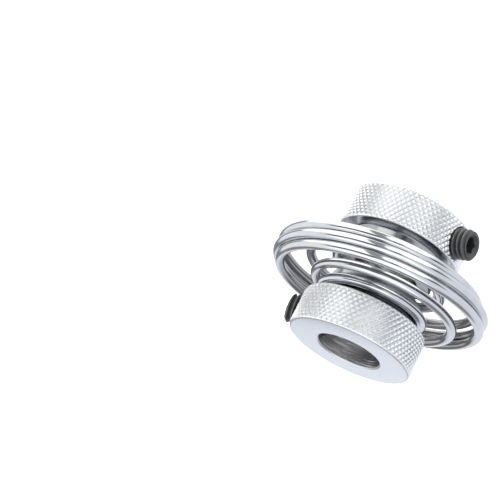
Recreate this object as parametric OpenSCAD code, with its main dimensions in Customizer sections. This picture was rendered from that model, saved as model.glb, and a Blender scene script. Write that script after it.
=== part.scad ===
// Spring coupling: two knurled shaft hubs held together by one coiled spring.
// Millimetres. The axis of both shafts is +Z, and the part stands on the end
// face of its lower hub, with the origin at the middle of that face.

/* [Hubs] */
// Diameter over the knurl of each hub
hub_d = 25; // [23:0.5:32]
// Diameter of the bore for the shaft
bore_d = 12.7; // [8:0.1:14]
// Length of the knurled head of each hub
head_len = 7.75; // [7.25:0.25:12]
// Diameter of the neck that carries the end of the spring
neck_d = 18.5; // [17:0.25:20]
// Length of the neck beyond the head
neck_len = 5.5; // [4.5:0.25:6.5]
// Chamfer on both edges of the head
head_chamfer = 0.2; // [0.1:0.05:0.5]
// Chamfer at both ends of the bore
bore_chamfer = 0.3; // [0.1:0.05:0.6]
// Chamfer on the tip of the neck
neck_chamfer = 0.3; // [0.1:0.05:0.6]

/* [Knurl] */
// Teeth around each head
knurl_teeth = 68; // [40:1:80]
// Length of one diamond along the axis
knurl_pitch = 1.45; // [1.2:0.05:3]
// Depth of the grooves
knurl_depth = 0.35; // [0.15:0.05:0.5]

/* [Spring] */
// Outside diameter of the widest turns
spring_od = 43.5; // [40:0.5:54]
// Diameter of the wire
wire_d = 2; // [1.4:0.1:2.4]
// Turns at the full diameter
full_turns = 1.5; // [1.1:0.1:3]
// Turns of the spiral between the widest turn and each neck
spiral_turns = 2; // [1.5:0.1:3]
// Turns wound on each neck
neck_turns = 0.65; // [0.5:0.05:1.5]
// Gap between neighbouring wide turns
coil_gap = 0.1; // [0.05:0.05:1]
// Gap between neighbouring turns on a neck
neck_coil_gap = 0.5; // [0.3:0.1:1]
// Clearance between the wire and the neck
seat_clearance = 0.05; // [0.02:0.01:0.2]
// Space from the lower head to the end of the spring
lower_stand_off = 2.75; // [0.3:0.05:3]
// Space from the upper head to the end of the spring
upper_stand_off = 0.35; // [0.3:0.05:3]
// How far the cut end of the wire stands off its neck
tail_flare = 2.5; // [0:0.5:4]
// Share of a turn over which the end stands off
tail_turns = 0.12; // [0.08:0.01:0.25]
// Angle at which the wire passes the middle of the spring
spring_angle = -77.5; // [-180:0.5:180]
// Lean of the widest turns, as the loose spring settles
spring_lean = 2.9; // [0:0.1:3.5]
// Angle around the axis at which the leaning turns stand highest
lean_angle = -27; // [-180:1:180]

/* [Set screws] */
// Thread diameter of the set screws
screw_d = 6; // [4:0.5:6]
// Length of the set screws
screw_len = 6; // [5:0.5:7]
// Width across the flats of the hexagon socket
socket_af = 3; // [2:0.5:3.5]
// Depth of the hexagon socket
socket_depth = 3; // [1.5:0.5:4]
// Clearance around a screw in its hole
screw_clearance = 0.05; // [0.02:0.01:0.1]
// How far the lower screw stands out of its head
lower_screw_out = 2.75; // [0:0.25:3]
// How far the upper screw stands out of its head
upper_screw_out = 1.5; // [0:0.25:3]
// Angle of the lower screw around the axis
lower_screw_angle = 205; // [0:1:359]
// Angle of the upper screw around the axis
upper_screw_angle = 0; // [0:1:359]

/* [Hidden] */

$fn = 96;
overlap = 1;
cut_extra = 0.5;

hub_r = hub_d / 2;
bore_r = bore_d / 2;
neck_r = neck_d / 2;
root_r = hub_r - knurl_depth;
hub_len = head_len + neck_len;

// Knurl grid: two columns for each tooth, rows half a diamond apart
knurl_cols = 2 * knurl_teeth;
knurl_len = head_len - 2 * head_chamfer;
knurl_rows = 2 * max(1, round(knurl_len / knurl_pitch));
row_step = knurl_len / knurl_rows;

// Spring, measured in turns and heights from its middle
wire_r = wire_d / 2;
full_coil_r = spring_od / 2 - wire_r;
neck_coil_r = neck_r + seat_clearance + wire_r;
coil_pitch = wire_d + coil_gap;
neck_pitch = wire_d + neck_coil_gap;
full_half = full_turns / 2;
half_turns = full_half + spiral_turns + neck_turns;
climb_overrun = 0.35;
climb_lead = 0.4;
climb_blend = 0.25;
flat_start = full_half + climb_overrun;
neck_start = full_half + spiral_turns - climb_lead;
spring_half_len = coil_height(half_turns) + wire_r;
ring_step = 1 / 36;
rings = ceil(2 * half_turns / ring_step);
wire_sides = 12;
tangent_step = 0.001;

// Heights of the assembly
head_gap = lower_stand_off + 2 * spring_half_len + upper_stand_off;
total_len = 2 * head_len + head_gap;
spring_mid_z = head_len + lower_stand_off + spring_half_len;

// Set screws
screw_r = screw_d / 2;
screw_z = head_len / 2;
screw_chamfer = screw_d / 15;
cup_r = screw_d / 4;
cup_depth = screw_d / 10;
socket_r = socket_af / 2 / cos(30);
socket_sink = screw_d / 10;

// Straight line of slope 1 after zero, with a round corner of half width w
function ramp(x, w) = x <= -w ? 0 : x >= w ? x : pow(x + w, 2) / (4 * w);

function unit(v) = v / norm(v);

// How far the spring is spread t turns from the middle: 1 in the widest turns, 0 on the necks
function spread(t) =
    let (s = min(1, max(0, (abs(t) - full_half) / spiral_turns)))
    (1 + cos(180 * s)) / 2;

// Radius of the wire's centre line, t turns from the middle
function coil_radius(t) =
    let (tail = max(0, abs(t) - half_turns + tail_turns) / tail_turns)
    neck_coil_r + (full_coil_r - neck_coil_r) * spread(t) + tail_flare * tail * tail;

// Height of the wire's centre line above the middle, t turns from it
function coil_height(t) =
    let (a = abs(t))
    let (wide = coil_pitch * (a - ramp(a - flat_start, climb_blend)))
    let (narrow = neck_pitch * ramp(a - neck_start, climb_blend))
    sign(t) * (wide + narrow);

function wire_point(t) =
    let (angle = spring_angle + 360 * t, r = coil_radius(t))
    let (lean = tan(spring_lean) * spread(t) * r * cos(angle - lean_angle))
    [r * cos(angle), r * sin(angle), spring_mid_z + coil_height(t) + lean];

// One ring of points around the wire, square to its run
function wire_ring(t) =
    let (centre = wire_point(t))
    let (along = unit(wire_point(t + tangent_step) - wire_point(t - tangent_step)))
    let (radial = unit([centre[0], centre[1], 0]))
    let (out = unit(radial - along * (radial * along)))
    let (side = cross(along, out))
    [for (k = [0 : wire_sides - 1])
        let (turn = 360 * k / wire_sides)
        centre + wire_r * (cos(turn) * out + sin(turn) * side)];

// Point of the knurl grid: valleys and peaks take turns along each row
function knurl_point(col, row) =
    let (peak = (col + row) % 2 == 1)
    let (r = peak ? hub_r : root_r, angle = 360 * col / knurl_cols)
    [r * cos(angle), r * sin(angle), head_chamfer + row * row_step];

// Ring of points on one of the two plain end faces of the head
function face_ring(z) = [for (col = [0 : knurl_cols - 1])
    let (r = hub_r - head_chamfer, angle = 360 * col / knurl_cols)
    [r * cos(angle), r * sin(angle), z]];

// Two triangles over one cell of a grid of rings, split along its valley
function cell_faces(col, row, flip) =
    let (next = (col + 1) % knurl_cols)
    let (a = row * knurl_cols + col, b = row * knurl_cols + next)
    let (c = a + knurl_cols, d = b + knurl_cols)
    flip ? [[b, a, d], [c, d, a]] : [[a, c, b], [d, b, c]];

// Knurled head, from its end face at z = 0 to its inner face at head_len
module knurled_head() {
    rows = [for (row = [0 : knurl_rows]) [for (col = [0 : knurl_cols - 1]) knurl_point(col, row)]];
    all_rows = concat([face_ring(0)], rows, [face_ring(head_len)]);
    last_row = len(all_rows) - 1;
    points = [for (ring = all_rows) each ring];
    cells = [for (row = [0 : last_row - 1], col = [0 : knurl_cols - 1])
        each cell_faces(col, row, (col + row) % 2 == 1)];
    bottom = [for (col = [0 : knurl_cols - 1]) col];
    top = [for (col = [knurl_cols - 1 : -1 : 0]) last_row * knurl_cols + col];
    polyhedron(points = points, faces = concat(cells, [bottom, top]));
}

// Neck, sunk into the head so that the two are one turned piece
module neck() {
    rotate_extrude()
        polygon([
            [0, head_len - overlap],
            [neck_r, head_len - overlap],
            [neck_r, hub_len - neck_chamfer],
            [neck_r - neck_chamfer, hub_len],
            [0, hub_len],
        ]);
}

// Bore right through the hub, with a chamfer at each end
module bore_cut() {
    rotate_extrude()
        polygon([
            [0, -cut_extra],
            [bore_r + bore_chamfer + cut_extra, -cut_extra],
            [bore_r, bore_chamfer],
            [bore_r, hub_len - bore_chamfer],
            [bore_r + bore_chamfer + cut_extra, hub_len + cut_extra],
            [0, hub_len + cut_extra],
        ]);
}

// One hub, standing on its end face, with its screw hole at the given angle
module hub(screw_angle) {
    difference() {
        union() {
            knurled_head();
            neck();
        }
        bore_cut();
        rotate([0, 0, screw_angle])
            translate([0, 0, screw_z])
                rotate([0, 90, 0])
                    cylinder(r = screw_r + screw_clearance, h = hub_r + cut_extra);
    }
}

// One set screw, with its cup point at the origin and its socket up +Z
module set_screw() {
    difference() {
        rotate_extrude()
            polygon([
                [0, cup_depth],
                [cup_r, 0],
                [screw_r - screw_chamfer, 0],
                [screw_r, screw_chamfer],
                [screw_r, screw_len - screw_chamfer],
                [screw_r - screw_chamfer, screw_len],
                [0, screw_len],
            ]);
        translate([0, 0, screw_len - socket_depth])
            cylinder(r = socket_r, h = socket_depth + cut_extra, $fn = 6);
        translate([0, 0, screw_len - socket_sink])
            cylinder(
                r1 = socket_af / 2,
                r2 = socket_af / 2 + socket_sink + cut_extra,
                h = socket_sink + cut_extra
            );
    }
}

// Puts a set screw in its hole along the angle, at the height z
module seat_screw(angle, z, stands_out) {
    rotate([0, 0, angle])
        translate([hub_r + stands_out - screw_len, 0, z])
            rotate([0, 90, 0])
                set_screw();
}

module lower_hub() {
    color("lightsteelblue") hub(lower_screw_angle);
}

module upper_hub() {
    color("lightsteelblue")
        translate([0, 0, total_len])
            rotate([180, 0, 0])
                hub(-upper_screw_angle);
}

// One wire: wound on the lower neck, out to the wide turns and in to the upper neck
module spring() {
    points = [for (i = [0 : rings]) each wire_ring(half_turns * (2 * i / rings - 1))];
    sides = [for (i = [0 : rings - 1], k = [0 : wire_sides - 1])
        let (next = (k + 1) % wire_sides)
        let (a = i * wire_sides + k, b = i * wire_sides + next)
        let (c = b + wire_sides, d = a + wire_sides)
        each [[a, d, c], [a, c, b]]];
    start = [for (k = [0 : wire_sides - 1]) k];
    end = [for (k = [wire_sides - 1 : -1 : 0]) rings * wire_sides + k];
    color("silver") polyhedron(points = points, faces = concat(sides, [start, end]));
}

module lower_set_screw() {
    color("dimgray") seat_screw(lower_screw_angle, screw_z, lower_screw_out);
}

module upper_set_screw() {
    color("dimgray") seat_screw(upper_screw_angle, total_len - screw_z, upper_screw_out);
}

lower_hub();
upper_hub();
spring();
lower_set_screw();
upper_set_screw();
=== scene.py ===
"""Looks of a spring coupling: two knurled hubs, one coiled wire and two set screws.

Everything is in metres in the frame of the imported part, which stands on its lower hub.
Shapes are worked out in millimetres and become metres when their mesh is made.
"""
import math

import bmesh
import bpy
import numpy as np
from mathutils import Matrix, Vector


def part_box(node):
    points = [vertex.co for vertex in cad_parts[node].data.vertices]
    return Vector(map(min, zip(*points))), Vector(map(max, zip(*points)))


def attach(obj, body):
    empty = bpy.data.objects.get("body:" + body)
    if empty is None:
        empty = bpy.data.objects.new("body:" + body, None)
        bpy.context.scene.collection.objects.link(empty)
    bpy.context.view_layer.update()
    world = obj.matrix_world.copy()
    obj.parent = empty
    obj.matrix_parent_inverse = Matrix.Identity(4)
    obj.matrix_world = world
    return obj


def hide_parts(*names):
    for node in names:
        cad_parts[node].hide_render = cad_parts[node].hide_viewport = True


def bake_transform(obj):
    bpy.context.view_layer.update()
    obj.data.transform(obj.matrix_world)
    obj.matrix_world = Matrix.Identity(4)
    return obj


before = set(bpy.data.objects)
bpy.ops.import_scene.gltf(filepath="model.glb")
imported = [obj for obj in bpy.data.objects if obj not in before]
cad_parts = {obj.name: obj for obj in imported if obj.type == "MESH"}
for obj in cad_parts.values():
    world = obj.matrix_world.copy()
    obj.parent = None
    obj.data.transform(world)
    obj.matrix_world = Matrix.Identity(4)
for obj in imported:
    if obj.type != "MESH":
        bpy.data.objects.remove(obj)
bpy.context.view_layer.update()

MM = 0.001

# Sizes of the hubs in millimetres, as in the part
HUB_R = 12.5
BORE_R = 6.35
HEAD_LEN = 7.75
NECK_R = 9.25
NECK_LEN = 5.5
HUB_LEN = HEAD_LEN + NECK_LEN
HEAD_CHAMFER = 0.2
BORE_CHAMFER = 0.3
NECK_CHAMFER = 0.3
KNURL_TEETH = 68
KNURL_DEPTH = 0.35
KNURL_ROWS = 5
ROOT_R = HUB_R - KNURL_DEPTH
FACE_R = HUB_R - HEAD_CHAMFER
SCREW_Z = HEAD_LEN / 2

# Finer form of the knurl, as shares of a sharp tooth, and slopes at the ends of its grooves
SHALLOW_GROOVE = 0.1
TOOTH_FLAT = 0.8
BEVEL_SLOPE = 0.45
FILL_SLOPE = 0.4

# Rounded edges of the hub, as steps in millimetres from its sharp form
# Head's inner edge: inwards, and back from the inner face
INNER_EDGE = [(0.02, 0.14), (0.10, 0.05), (0.25, 0.0)]
# Corner of head and neck: outwards, and up from the head
NECK_CORNER = [(0.35, 0.0), (0.12, 0.05), (0.0, 0.3)]
# Bulge of the neck's chamfer: inwards, and up from its start
NECK_BULGE_IN = 0.06
NECK_BULGE_UP = 0.12
# Lip of the bore: outwards from its chamfer, and up from the end face
BORE_LIP = [(-0.05, 0.06), (0.05, 0.0)]
# Edge of the end face: inwards, and up from the end face
FACE_EDGE = [(0.40, 0.0), (0.24, 0.03), (0.10, 0.09), (0.02, 0.17)]

# Cutter of the screw holes in millimetres: reach into the bore, and its countersink's cone
SCREW_HOLE_R = 3.05
HOLE_REACH = 2.0
SINK_DEPTH = 0.55
SINK_RUN = 1.3

# Sizes of the spring in millimetres and turns, as in the part
WIRE_R = 1.0
FULL_COIL_R = 20.75
NECK_COIL_R = 10.3
COIL_PITCH = 2.1
NECK_PITCH = 2.5
FULL_HALF = 0.75
SPIRAL_TURNS = 2.0
HALF_TURNS = 3.4
CLIMB_OVERRUN = 0.35
CLIMB_LEAD = 0.4
CLIMB_BLEND = 0.25
FLAT_START = FULL_HALF + CLIMB_OVERRUN
NECK_START = FULL_HALF + SPIRAL_TURNS - CLIMB_LEAD
TAIL_FLARE = 2.5
TAIL_TURNS = 0.12
SPRING_ANGLE = -77.5
SPRING_LEAN = 2.9
LEAN_ANGLE = -27.0
TANGENT_STEP = 0.001

# Rounded edge of the wire's cut ends in millimetres, and the share of it at its middle ring
CUT_EDGE = 0.12
CUT_ROUND = 0.3

# Sizes of the set screws in millimetres, as in the part
SCREW_R = 3.0
SCREW_LEN = 6.0
SCREW_CHAMFER = 0.4
SOCKET_AF = 3.0
SOCKET_DEPTH = 3.0
SOCKET_SINK = 0.6
CUP_R = 1.5
CUP_DEPTH = 0.6
LOWER_SCREW_ANGLE = 205.0
UPPER_SCREW_ANGLE = 0.0
LOWER_SCREW_OUT = 2.75
UPPER_SCREW_OUT = 1.5

# Finer form of the screws in millimetres, with the thread's root and flank as shares of half a pitch
THREAD_PITCH = 1.0
THREAD_DEPTH = 0.55
THREAD_ROOT = 0.14
THREAD_FLANK = 0.68
CONE_TIP_R = 0.075
SOCKET_CONE = 0.5
FACE_BREAK = 0.02

TOTAL_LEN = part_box("upper_hub")[1].z / MM
SPRING_MID_Z = (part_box("spring")[0].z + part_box("spring")[1].z) / 2 / MM

# Fineness of the meshes
KNURL_STEPS = 4
WIRE_SIDES = 28
WIRE_RINGS_PER_TURN = 90
SCREW_SIDES = 72
SCREW_ROWS_PER_PITCH = 20
HOLE_SIDES = 96
SHARP_ANGLE = math.radians(28)


# Mesh helpers

def mesh_from(name, points, faces):
    """A mesh in metres from points in millimetres, with its faces turned outwards."""
    mesh = bpy.data.meshes.new(name)
    mesh.from_pydata([tuple(MM * c for c in p) for p in points], [], faces)
    work = bmesh.new()
    work.from_mesh(mesh)
    bmesh.ops.recalc_face_normals(work, faces=work.faces)
    work.to_mesh(mesh)
    work.free()
    return mesh


def shade(mesh):
    """Smooth shading with the real edges kept crisp."""
    mesh.polygons.foreach_set("use_smooth", [True] * len(mesh.polygons))
    mesh.set_sharp_from_angle(angle=SHARP_ANGLE)
    mesh.update()


def add_object(name, mesh):
    """A new object in the scene."""
    obj = bpy.data.objects.new(name, mesh)
    bpy.context.scene.collection.objects.link(obj)
    return obj


def turn_angles(sides):
    """Angles of the sides around one turn."""
    return [2 * math.pi * k / sides for k in range(sides)]


def lathe_points(rings, angles):
    """Points around the Z axis from rings of (radius, height), with one pair for each angle."""
    points = []
    for ring in rings:
        points += [(r * math.cos(a), r * math.sin(a), z) for (r, z), a in zip(ring, angles)]
    return points


def ring_faces(rings, sides, closed):
    """Quads between neighbouring rings of points, and from the last to the first if closed."""
    faces = []
    for i in range(rings if closed else rings - 1):
        here = i * sides
        there = (i + 1) % rings * sides
        for k in range(sides):
            n = (k + 1) % sides
            faces.append((here + k, here + n, there + n, there + k))
    return faces


def tube_faces(rings, sides):
    """Faces of an open row of rings, with a flat cap on both ends."""
    last = (rings - 1) * sides
    caps = [tuple(range(sides)), tuple(range(last, last + sides))]
    return ring_faces(rings, sides, False) + caps


# Hubs

def tooth(x):
    """0 in a groove, 1 halfway between two grooves."""
    return 1 - abs(2 * (x % 1.0) - 1)


def knurl_radius(col, row, z):
    """Radius of the knurl: deep and shallower crossing grooves, running out in a plain bevel."""
    u = (col + row) / (2 * KNURL_STEPS)
    v = (col - row) / (2 * KNURL_STEPS)
    shallow = SHALLOW_GROOVE + (1 - SHALLOW_GROOVE) * tooth(u)
    rise = min(shallow, tooth(v), TOOTH_FLAT) / TOOTH_FLAT
    past_chamfer = min(z, HEAD_LEN - z) - HEAD_CHAMFER
    bevel = FACE_R + BEVEL_SLOPE * past_chamfer
    filled = FACE_R - FILL_SLOPE * past_chamfer
    return max(min(ROOT_R + KNURL_DEPTH * rise, bevel), filled)


def hub_profile():
    """Section of the hub without its knurl, as (radius, height), from the head's inner edge on."""
    chamfer_start = HUB_LEN - NECK_CHAMFER
    mouth_r = BORE_R + BORE_CHAMFER
    profile = [(FACE_R - inwards, HEAD_LEN - back) for inwards, back in INNER_EDGE]
    profile += [(NECK_R + out, HEAD_LEN + rise) for out, rise in NECK_CORNER]
    profile += [
        (NECK_R, chamfer_start),
        (NECK_R - NECK_BULGE_IN, chamfer_start + NECK_BULGE_UP),
        (NECK_R - NECK_CHAMFER, HUB_LEN),
        (mouth_r, HUB_LEN),
        (BORE_R, HUB_LEN - BORE_CHAMFER),
        (BORE_R, BORE_CHAMFER),
    ]
    profile += [(mouth_r + out, rise) for out, rise in BORE_LIP]
    profile += [(FACE_R - inwards, rise) for inwards, rise in FACE_EDGE]
    return profile


def hole_mesh(screw_angle):
    """Cutter for a screw hole with a small countersink where it leaves the head."""
    sink_start = HUB_R - SINK_DEPTH
    profile = [
        (SCREW_HOLE_R, BORE_R - HOLE_REACH),
        (SCREW_HOLE_R, sink_start),
        (SCREW_HOLE_R + SINK_RUN, sink_start + SINK_RUN),
    ]
    points = []
    for r, out in profile:
        points += [(out, r * math.cos(a), r * math.sin(a)) for a in turn_angles(HOLE_SIDES)]
    mesh = mesh_from("screw_hole", points, tube_faces(len(profile), HOLE_SIDES))
    mesh.transform(Matrix.Rotation(math.radians(screw_angle), 4, "Z"))
    mesh.transform(Matrix.Translation((0, 0, MM * SCREW_Z)))
    return mesh


def hub_mesh(name, screw_angle):
    """One hub standing on its end face, with its screw hole cut at the given angle."""
    cols = 2 * KNURL_TEETH * KNURL_STEPS
    rows = 2 * KNURL_ROWS * KNURL_STEPS
    row_step = (HEAD_LEN - 2 * HEAD_CHAMFER) / rows
    rings = []
    for row in range(rows + 1):
        z = HEAD_CHAMFER + row * row_step
        rings.append([(knurl_radius(col, row, z), z) for col in range(cols)])
    rings += [[at] * cols for at in hub_profile()]
    points = lathe_points(rings, turn_angles(cols))
    body = add_object(name, mesh_from(name, points, ring_faces(len(rings), cols, True)))
    cut = add_object(name + "_cut", hole_mesh(screw_angle))
    change = body.modifiers.new("screw_hole", "BOOLEAN")
    change.operation = "DIFFERENCE"
    change.solver = "EXACT"
    change.object = cut
    result = body.evaluated_get(bpy.context.evaluated_depsgraph_get())
    final = bpy.data.meshes.new_from_object(result)
    bpy.data.objects.remove(body)
    bpy.data.objects.remove(cut)
    return final


# Spring, along its wire: t counts turns from the middle, below zero in the lower half

def ramp(x, w):
    """Straight line of slope 1 after zero, with a round corner of half width w."""
    if x <= -w:
        return 0.0
    if x >= w:
        return x
    return (x + w) ** 2 / (4 * w)


def spread(t):
    """1 in the widest turns, 0 on the necks."""
    s = min(1.0, max(0.0, (abs(t) - FULL_HALF) / SPIRAL_TURNS))
    return (1 + math.cos(math.pi * s)) / 2


def coil_radius(t):
    """Distance of the wire from the axis, with a flare at its cut ends."""
    tail = max(0.0, abs(t) - HALF_TURNS + TAIL_TURNS) / TAIL_TURNS
    return NECK_COIL_R + (FULL_COIL_R - NECK_COIL_R) * spread(t) + TAIL_FLARE * tail * tail


def coil_height(t):
    """Height of the wire over the middle: climbing, then flat in the spiral, then climbing."""
    a = abs(t)
    wide = COIL_PITCH * (a - ramp(a - FLAT_START, CLIMB_BLEND))
    narrow = NECK_PITCH * ramp(a - NECK_START, CLIMB_BLEND)
    return math.copysign(wide + narrow, t)


def wire_point(t):
    """Middle of the wire, with the lean of the wide turns."""
    angle = math.radians(SPRING_ANGLE + 360 * t)
    r = coil_radius(t)
    slope = math.tan(math.radians(SPRING_LEAN)) * spread(t)
    lean = slope * r * math.cos(angle - math.radians(LEAN_ANGLE))
    return Vector((r * math.cos(angle), r * math.sin(angle), SPRING_MID_Z + coil_height(t) + lean))


def wire_ring(t, radius, along_shift):
    """One ring of points around the wire, square to its run, from its outermost point on."""
    centre = wire_point(t)
    along = (wire_point(t + TANGENT_STEP) - wire_point(t - TANGENT_STEP)).normalized()
    radial = Vector((centre.x, centre.y, 0)).normalized()
    out = (radial - along * radial.dot(along)).normalized()
    side = along.cross(out)
    centre = centre + along * along_shift
    return [
        centre + radius * (math.cos(a) * out + math.sin(a) * side)
        for a in turn_angles(WIRE_SIDES)
    ]


def half_spring(name, sign):
    """Half of the wire, from the middle of the spring to its cut end, and the turn of each point.

    The map "run" goes along and around the wire, and "inward" is 1 on the inside of the turns.
    """
    rings = int(HALF_TURNS * WIRE_RINGS_PER_TURN)
    places = [(sign * HALF_TURNS * i / rings, WIRE_R, 0.0) for i in range(rings)]
    cut_end = [
        (WIRE_R, CUT_EDGE),
        (WIRE_R - CUT_ROUND * CUT_EDGE, CUT_ROUND * CUT_EDGE),
        (WIRE_R - CUT_EDGE, 0.0),
    ]
    places += [(sign * HALF_TURNS, radius, -sign * back) for radius, back in cut_end]
    points = []
    turns = []
    for t, radius, shift in places:
        points += wire_ring(t, radius, shift)
        turns += [abs(t)] * WIRE_SIDES
    mesh = mesh_from(name, points, tube_faces(len(places), WIRE_SIDES))
    run = mesh.uv_layers.new(name="run")
    for loop in mesh.loops:
        side = loop.vertex_index % WIRE_SIDES
        run.data[loop.index].uv = (turns[loop.vertex_index], side / WIRE_SIDES)
    inward = [(1 - math.cos(a)) / 2 for a in turn_angles(WIRE_SIDES)]
    attribute = mesh.attributes.new("inward", "FLOAT", "POINT")
    attribute.data.foreach_set("value", inward * len(places))
    shade(mesh)
    return add_object(name, mesh), np.array(turns)


# Set screws

def hexagon_radius(a, flats):
    """Distance from the middle of a hexagon to its outline at an angle."""
    part = a % (math.pi / 3) - math.pi / 6
    return flats / 2 / math.cos(part)


def thread_radius(a, z):
    """Radius of the thread, with flat crests and roots, faded by the chamfers at both ends."""
    phase = (z / THREAD_PITCH - a / (2 * math.pi)) % 1.0
    wave = abs(2 * phase - 1)
    rise = min(1.0, max(0.0, (wave - THREAD_ROOT) / THREAD_FLANK))
    cone = SCREW_R - SCREW_CHAMFER + min(z, SCREW_LEN - z)
    return min(SCREW_R - THREAD_DEPTH * (1 - rise), cone)


def screw_mesh(name):
    """A set screw along +Z: cup point at z = 0, hexagon socket in the other end."""
    angles = turn_angles(SCREW_SIDES)
    rows = int(SCREW_LEN / THREAD_PITCH * SCREW_ROWS_PER_PITCH)
    face_r = SCREW_R - SCREW_CHAMFER - FACE_BREAK
    mouth_r = SOCKET_AF / 2 + SOCKET_SINK
    socket_end = SCREW_LEN - SOCKET_DEPTH
    wall = [hexagon_radius(a, SOCKET_AF) for a in angles]
    rings = []
    rings.append([(CONE_TIP_R, CUP_DEPTH)] * SCREW_SIDES)
    rings.append([(CUP_R, 0.0)] * SCREW_SIDES)
    for row in range(rows + 1):
        z = SCREW_LEN * row / rows
        rings.append([(thread_radius(a, z), z) for a in angles])
    rings.append([(face_r, SCREW_LEN)] * SCREW_SIDES)
    rings.append([(mouth_r, SCREW_LEN)] * SCREW_SIDES)
    rings.append([(r, SCREW_LEN - mouth_r + r) for r in wall])
    rings.append([(r, socket_end) for r in wall])
    rings.append([(CONE_TIP_R, socket_end - SOCKET_CONE)] * SCREW_SIDES)
    points = lathe_points(rings, angles)
    mesh = mesh_from(name, points, tube_faces(len(rings), SCREW_SIDES))
    shade(mesh)
    return mesh


# Material helpers

# Colour sockets of a mix node, which has one set of sockets for each kind of value
MIX_BELOW = 6
MIX_ABOVE = 7
MIX_RESULT = 2


class Nodes:
    """Short calls to fill a node tree."""

    def __init__(self, tree):
        self.tree = tree

    def feed(self, socket, value):
        """Links a socket to another one, or sets it to a value."""
        if isinstance(value, bpy.types.NodeSocket):
            self.tree.links.new(value, socket)
        else:
            socket.default_value = value

    def add(self, kind, sockets=(), **settings):
        """A new node with its settings and the values of its sockets."""
        node = self.tree.nodes.new(kind)
        for key, value in settings.items():
            setattr(node, key, value)
        for key, value in dict(sockets).items():
            self.feed(node.inputs[key], value)
        return node

    def math(self, operation, a, b=0.0):
        return self.add("ShaderNodeMath", {0: a, 1: b}, operation=operation).outputs[0]

    def both(self, first, *others):
        """Product of masks: 1 only where each of them is 1."""
        for other in others:
            first = self.math("MULTIPLY", first, other)
        return first

    def curve(self, factor, stops):
        """Colour ramp over factor: stops are (place, colour)."""
        node = self.add("ShaderNodeValToRGB", {"Fac": factor})
        band = node.color_ramp
        while len(band.elements) < len(stops):
            band.elements.new(1.0)
        for element, (place, colour) in zip(band.elements, stops):
            element.position = place
            element.color = (*colour, 1.0)
        return node.outputs["Color"]

    def noise(self, vector, scale, detail):
        sockets = {"Vector": vector, "Scale": scale, "Detail": detail}
        return self.add("ShaderNodeTexNoise", sockets).outputs["Fac"]

    def stretched_noise(self, vector, scales, detail):
        """Noise with its own scale along each axis."""
        mapped = self.add("ShaderNodeMapping", {"Vector": vector, "Scale": scales})
        return self.noise(mapped.outputs["Vector"], scale=1.0, detail=detail)

    def step(self, value, low, high):
        """0 at low and 1 at high, soft between them, where low may be the larger one."""
        sockets = {"Value": value, "From Min": low, "From Max": high}
        node = self.add("ShaderNodeMapRange", sockets, interpolation_type="SMOOTHSTEP")
        return node.outputs["Result"]

    def spread(self, value, low, high):
        """Takes a value between 0 and 1 to the range from low to high."""
        sockets = {"Value": value, "To Min": low, "To Max": high}
        return self.add("ShaderNodeMapRange", sockets).outputs["Result"]

    def mix(self, factor, below, above):
        """The colour below where factor is 0, the colour above where it is 1."""
        node = self.add("ShaderNodeMix", {0: factor}, data_type="RGBA")
        for socket, colour in ((MIX_BELOW, below), (MIX_ABOVE, above)):
            opaque = (*colour, 1.0) if isinstance(colour, tuple) else colour
            self.feed(node.inputs[socket], opaque)
        return node.outputs[MIX_RESULT]

    def lighten(self, colour, value, factor=1.0):
        """The colour times a value, as far as factor says."""
        sockets = {"Color": colour, "Value": value, "Fac": factor}
        return self.add("ShaderNodeHueSaturation", sockets).outputs["Color"]

    def bump(self, height, strength, distance):
        sockets = {"Height": height, "Strength": strength, "Distance": distance}
        return self.add("ShaderNodeBump", sockets).outputs["Normal"]

    def place(self):
        """Place on the piece, in metres."""
        return self.add("ShaderNodeTexCoord").outputs["Object"]

    def around_axis(self, at):
        """Distance of a place from the Z axis, and its height."""
        x, y, z = self.add("ShaderNodeSeparateXYZ", {"Vector": at}).outputs
        flat = self.add("ShaderNodeCombineXYZ", {"X": x, "Y": y}).outputs["Vector"]
        distance = self.add("ShaderNodeVectorMath", {0: flat}, operation="LENGTH")
        return distance.outputs["Value"], z


def new_material(name):
    """A material, short calls for its nodes, and its surface."""
    material = bpy.data.materials.new(name)
    material.use_nodes = True
    tree = material.node_tree
    return material, Nodes(tree), tree.nodes["Principled BSDF"]


def grey(value):
    return (value, value, value)


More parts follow.
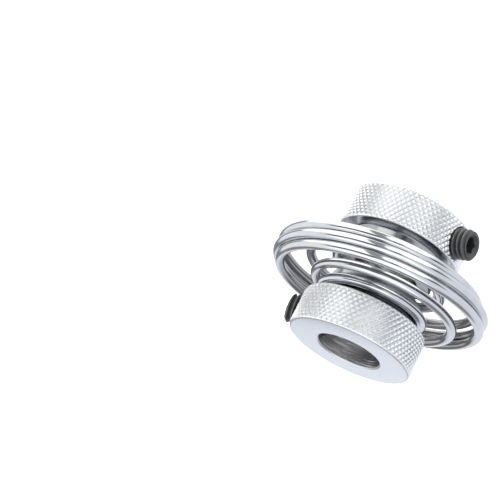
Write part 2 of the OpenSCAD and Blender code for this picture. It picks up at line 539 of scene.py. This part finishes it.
def zinc_plate():
    """Bright plated steel: pale tips and grooves darkened by painted shade on the knurl, a neck
    darkened by painted shade, a dull bore, turning marks.
    """
    material, n, surface = new_material("zinc_plate")
    at = n.place()
    radius, z = n.around_axis(at)
    share = n.math("DIVIDE", radius, HUB_R * MM)

    # Places on the hub as shares of its radius
    bore = BORE_R / HUB_R
    bore_wall = bore + 0.004
    lip = (BORE_R + BORE_CHAMFER) / HUB_R
    rim = FACE_R / HUB_R - 0.03
    root = ROOT_R / HUB_R
    groove = root + 0.001
    flank = root + 0.010
    tip = 0.995
    in_bore = n.step(share, bore + 0.008, bore + 0.002)
    on_neck = n.step(share, (NECK_R + 0.6) / HUB_R, (NECK_R + 0.2) / HUB_R)

    # The side of each hub that faces the other one
    from_middle = n.math("ABSOLUTE", n.math("SUBTRACT", z, MM * TOTAL_LEN / 2))
    inner_face = TOTAL_LEN / 2 - HEAD_LEN
    inside = n.step(from_middle, MM * (inner_face + 0.06), MM * (inner_face + 0.02))

    # Colour
    bore_tint = (0.60, 0.597, 0.595)
    face_tint = (0.81, 0.828, 0.86)
    # Darker tint in the knurl's grooves: painted shade
    groove_painted_shade = (0.58, 0.595, 0.62)
    flank_tint = (0.90, 0.91, 0.925)
    tip_tint = (0.97, 0.972, 0.98)
    inner_face_tint = (0.80, 0.815, 0.84)
    # Dark tint of the neck between the heads: painted shade of the recess
    neck_painted_shade = (0.42, 0.43, 0.445)
    tint = n.curve(share, [
        (bore_wall, bore_tint),
        (lip, face_tint),
        (rim, face_tint),
        (groove, groove_painted_shade),
        (flank, flank_tint),
        (tip, tip_tint),
    ])
    cloud = n.noise(at, scale=260.0, detail=3.0)
    clouded = n.lighten(tint, n.spread(cloud, 0.97, 1.03))
    # The neck takes its dark tint as painted shade, while the inner faces keep a plain plate tint
    recess_with_painted_shade = n.mix(on_neck, inner_face_tint, neck_painted_shade)
    shadowed = n.mix(inside, clouded, recess_with_painted_shade)
    rings = n.stretched_noise(at, (260.0, 260.0, 2600.0), detail=3.0)
    n.feed(surface.inputs["Base Color"], n.lighten(shadowed, n.spread(rings, 0.7, 1.3), in_bore))

    # Roughness
    face_dull = grey(0.28)
    dull = n.curve(share, [
        (bore_wall, grey(0.30)),
        (lip, face_dull),
        (rim, face_dull),
        (root, grey(0.42)),
        (tip, grey(0.34)),
    ])
    speck = n.noise(at, scale=3500.0, detail=2.0)
    rough = n.math("MULTIPLY", dull, n.spread(speck, 0.9, 1.1))
    polished = n.math("MULTIPLY", rough, n.spread(inside, 1.0, 0.6))
    n.feed(surface.inputs["Roughness"], polished)

    # Turning marks, faint outside and deep in the bore
    track = n.add("ShaderNodeCombineXYZ", {"X": radius, "Y": z}).outputs["Vector"]
    marks = n.noise(track, scale=3500.0, detail=2.0)
    faint = n.math("MULTIPLY", marks, 0.015)
    relief = n.math("ADD", faint, n.math("MULTIPLY", rings, in_bore))
    n.feed(surface.inputs["Normal"], n.bump(relief, strength=1.0, distance=0.22 * MM))
    n.feed(surface.inputs["Metallic"], 1.0)
    return material


def bright_wire():
    """Plated spring wire, nearly a mirror, darker inside its turns by painted shade, with faint
    drawn lines.
    """
    material, n, surface = new_material("bright_wire")
    run = n.add("ShaderNodeUVMap", uv_map="run").outputs["UV"]
    lines = n.stretched_noise(run, (14.0, 60.0, 1.0), detail=3.0)
    cloud = n.noise(n.place(), scale=300.0, detail=3.0)
    dim_plate = (0.60, 0.612, 0.64)
    bright_plate = (0.68, 0.69, 0.71)
    # Dark tint for the inside of the turns: painted shade
    inner_turn_painted_shade = (0.33, 0.325, 0.335)
    plate = n.curve(cloud, [(0.3, dim_plate), (0.7, bright_plate)])
    # Painted shade: the inside of the turns takes the dark tint
    inward = n.add("ShaderNodeAttribute", attribute_name="inward").outputs["Fac"]
    on_inside = n.step(inward, 0.45, 0.85)
    n.feed(surface.inputs["Base Color"], n.mix(on_inside, plate, inner_turn_painted_shade))
    n.feed(surface.inputs["Roughness"], n.spread(lines, 0.05, 0.16))
    n.feed(surface.inputs["Normal"], n.bump(lines, strength=0.05, distance=0.03 * MM))
    n.feed(surface.inputs["Metallic"], 1.0)
    return material


def black_oxide():
    """Blackened steel, slightly oily, paler on the crests of the thread: partly rubbed wear, partly
    painted highlight.
    """
    material, n, surface = new_material("black_oxide")
    at = n.place()
    radius, _ = n.around_axis(at)
    share = n.math("DIVIDE", radius, SCREW_R * MM)
    cloud = n.noise(at, scale=900.0, detail=4.0)
    uneven = n.math("MULTIPLY", n.math("SUBTRACT", cloud, 0.5), 0.05)
    # Paler towards the crests: partly rubbed wear, partly painted highlight
    wear_and_highlight = n.math("ADD", share, uneven)
    root_tint = (0.050, 0.050, 0.051)
    flank_tint = (0.085, 0.085, 0.087)
    crest_wear_and_highlight = (0.16, 0.16, 0.165)
    tint = n.curve(wear_and_highlight, [(0.80, root_tint), (0.96, flank_tint), (1.0, crest_wear_and_highlight)])
    n.feed(surface.inputs["Base Color"], tint)
    n.feed(surface.inputs["Roughness"], n.spread(cloud, 0.28, 0.48))
    grain = n.noise(at, scale=6000.0, detail=2.0)
    n.feed(surface.inputs["Normal"], n.bump(grain, strength=0.1, distance=0.02 * MM))
    n.feed(surface.inputs["Metallic"], 0.35)
    return material


ZINC = zinc_plate()
WIRE = bright_wire()
BLACK = black_oxide()


# Pieces

def place_hub(node, screw_angle, place):
    """A knurled hub in place of its plain solid."""
    mesh = hub_mesh(node + "_turned", screw_angle)
    mesh.transform(place)
    shade(mesh)
    mesh.materials.clear()
    mesh.materials.append(ZINC)
    piece = add_object(node + "_turned", mesh)
    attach(piece, node)
    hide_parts(node)


def place_screw(node, angle, z, stands_out):
    """A threaded screw in place of its plain solid, with its socket outwards."""
    mesh = screw_mesh(node + "_threaded")
    mesh.materials.append(BLACK)
    piece = add_object(node + "_threaded", mesh)
    turn = Matrix.Rotation(math.radians(angle), 4, "Z")
    out = Matrix.Translation((MM * (HUB_R + stands_out - SCREW_LEN), 0, MM * z))
    piece.matrix_world = turn @ out @ Matrix.Rotation(math.radians(90), 4, "Y")
    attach(piece, node)
    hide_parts(node)


def place_half_spring(name, sign):
    """Half of the wire in place of the plain solid of the spring."""
    piece, turns = half_spring(name, sign)
    piece.data.materials.append(WIRE)
    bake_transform(piece)
    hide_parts("spring")


# The upper hub is the same piece turned over, which also turns the sense of its screw's angle
TURNED_OVER = Matrix.Translation((0, 0, MM * TOTAL_LEN)) @ Matrix.Rotation(math.radians(180), 4, "X")

place_hub("lower_hub", LOWER_SCREW_ANGLE, Matrix.Identity(4))
place_hub("upper_hub", -UPPER_SCREW_ANGLE, TURNED_OVER)
place_half_spring("spring_lower_half", -1)
place_half_spring("spring_upper_half", 1)
place_screw("lower_set_screw", LOWER_SCREW_ANGLE, SCREW_Z, LOWER_SCREW_OUT)
place_screw("upper_set_screw", UPPER_SCREW_ANGLE, TOTAL_LEN - SCREW_Z, UPPER_SCREW_OUT)


# Camera, at the photograph's viewing angle

CAMERA_AZIMUTH = -17.09
CAMERA_ELEVATION = 19.11
CAMERA_ROLL = 152.28
CAMERA_DISTANCE = 0.26195
CAMERA_AIM = Vector((0.02463, -0.0059, 0.02105))
CAMERA_LENS = 98.28
SENSOR_WIDTH = 36.0
CLIP_START = 0.01
CLIP_END = 50.0


def view_direction(azimuth, elevation):
    """Direction from the object to a camera at that azimuth and elevation."""
    a = math.radians(azimuth)
    e = math.radians(elevation)
    return Vector((math.sin(a) * math.cos(e), -math.cos(a) * math.cos(e), math.sin(e)))


def add_camera():
    """The scene's camera, rolled as the photograph's was."""
    data = bpy.data.cameras.new("camera")
    data.lens = CAMERA_LENS
    data.sensor_width = SENSOR_WIDTH
    data.clip_start = CLIP_START
    data.clip_end = CLIP_END
    camera = add_object("camera", data)
    back = view_direction(CAMERA_AZIMUTH, CAMERA_ELEVATION)
    level = (-back).to_track_quat("-Z", "Y").to_matrix().to_4x4()
    roll = Matrix.Rotation(-math.radians(CAMERA_ROLL), 4, "Z")
    camera.matrix_world = Matrix.Translation(CAMERA_AIM + back * CAMERA_DISTANCE) @ level @ roll
    bpy.context.scene.camera = camera


add_camera()


# Floor and light

WHITE = (1.0, 1.0, 1.0)
FLOOR_HALF = 4.0
FLOOR_Z = -0.03 * MM
FLOOR_GREY = 0.9
FLOOR_ROUGHNESS = 0.9
FLOOR_GLOW = 0.85


def add_floor():
    """Plain white floor that glows softly, so that it stays white and throws light upwards."""
    mesh = bpy.data.meshes.new("floor")
    signs = ((-1, -1), (1, -1), (1, 1), (-1, 1))
    corners = [(x * FLOOR_HALF, y * FLOOR_HALF, FLOOR_Z) for x, y in signs]
    mesh.from_pydata(corners, [], [(0, 1, 2, 3)])
    material, n, surface = new_material("white_floor")
    n.feed(surface.inputs["Base Color"], (*grey(FLOOR_GREY), 1.0))
    n.feed(surface.inputs["Roughness"], FLOOR_ROUGHNESS)
    n.feed(surface.inputs["Emission Color"], (*WHITE, 1.0))
    n.feed(surface.inputs["Emission Strength"], FLOOR_GLOW)
    mesh.materials.append(material)
    floor = add_object("floor", mesh)
    floor.visible_glossy = False


def add_world():
    """Soft surroundings that the metal mirrors, while the camera itself sees plain white.

    Around a white table and backdrop there are a bright ceiling, two bright panels in front with a
    dim slot between them, a dark open front, and dim stretches at the left and under the part.
    """
    world = bpy.data.worlds.new("tent")
    world.use_nodes = True
    n = Nodes(world.node_tree)
    n.tree.nodes.clear()
    way = n.add("ShaderNodeTexCoord").outputs["Generated"]

    def side(direction, low, high):
        """1 towards the direction, 0 away from it, soft between the two cosines."""
        dot = n.add("ShaderNodeVectorMath", {0: way, 1: direction}, operation="DOT_PRODUCT")
        return n.step(dot.outputs["Value"], low, high)

    # Directions as the photograph's camera sees them
    view = bpy.context.scene.camera.matrix_world.to_3x3()
    right, up, front = (view @ Vector(axis) for axis in ((1, 0, 0), (0, 1, 0), (0, 0, 1)))
    below_left = (-0.60 * right - 0.65 * up - 0.45 * front).normalized()
    across = (right + 0.35 * front).normalized()

    # Zones of the surroundings
    sky = side(up, -0.05, 0.10)
    left_band = n.both(side(-right, 0.30, 0.42), side(right, -0.68, -0.56))
    far_left = side(-right, 0.62, 0.74)
    below = side(-up, 0.78, 0.93)
    low_left = side(below_left, 0.90, 0.97)
    near_table = n.both(side(front, 0.15, 0.4), side(-up, 0.02, 0.15), side(-right, -0.30, 0.05))
    ahead = n.both(side(front, 0.15, 0.45), side(up, 0.02, 0.12))
    ceiling = side(up, 0.58, 0.66)
    high_panels = n.both(side(up, 0.40, 0.46), side(front, 0.25, 0.35))
    low_panel = n.both(
        side(up, 0.18, 0.26),
        side(right, 0.18, 0.26),
        side(-right, -0.76, -0.66),
        side(front, 0.25, 0.35),
    )
    lamps = n.math("MAXIMUM", ceiling, n.math("MAXIMUM", high_panels, low_panel))
    slot = n.both(
        side(across, 0.02, 0.07),
        side(-across, -0.32, -0.27),
        side(front, -0.45, -0.30),
        side(up, 0.02, 0.12),
    )
    seen_directly = n.add("ShaderNodeLightPath").outputs["Is Camera Ray"]

    # Colours of the zones, each laid over the ones before it
    table_light = (0.93, 0.97, 1.04)
    backdrop_light = (0.97, 0.99, 1.02)
    own_shadow = (0.33, 0.32, 0.32)
    tone = n.mix(sky, table_light, backdrop_light)
    layers = [
        (left_band, (0.28, 0.30, 0.33)),
        (far_left, (1.12, 1.13, 1.15)),
        (below, own_shadow),
        (low_left, own_shadow),
        (near_table, (1.55, 1.59, 1.65)),
        (ahead, (0.07, 0.075, 0.085)),
        (lamps, (1.78, 1.76, 1.71)),
        (slot, (0.36, 0.37, 0.39)),
        (seen_directly, WHITE),
    ]
    for zone, light in layers:
        tone = n.mix(zone, tone, light)
    glow = n.add("ShaderNodeBackground", {"Color": tone, "Strength": 1.0})
    out = n.add("ShaderNodeOutputWorld")
    n.feed(out.inputs["Surface"], glow.outputs["Background"])
    bpy.context.scene.world = world


add_floor()
add_world()
bpy.context.scene.view_settings.view_transform = "Standard"
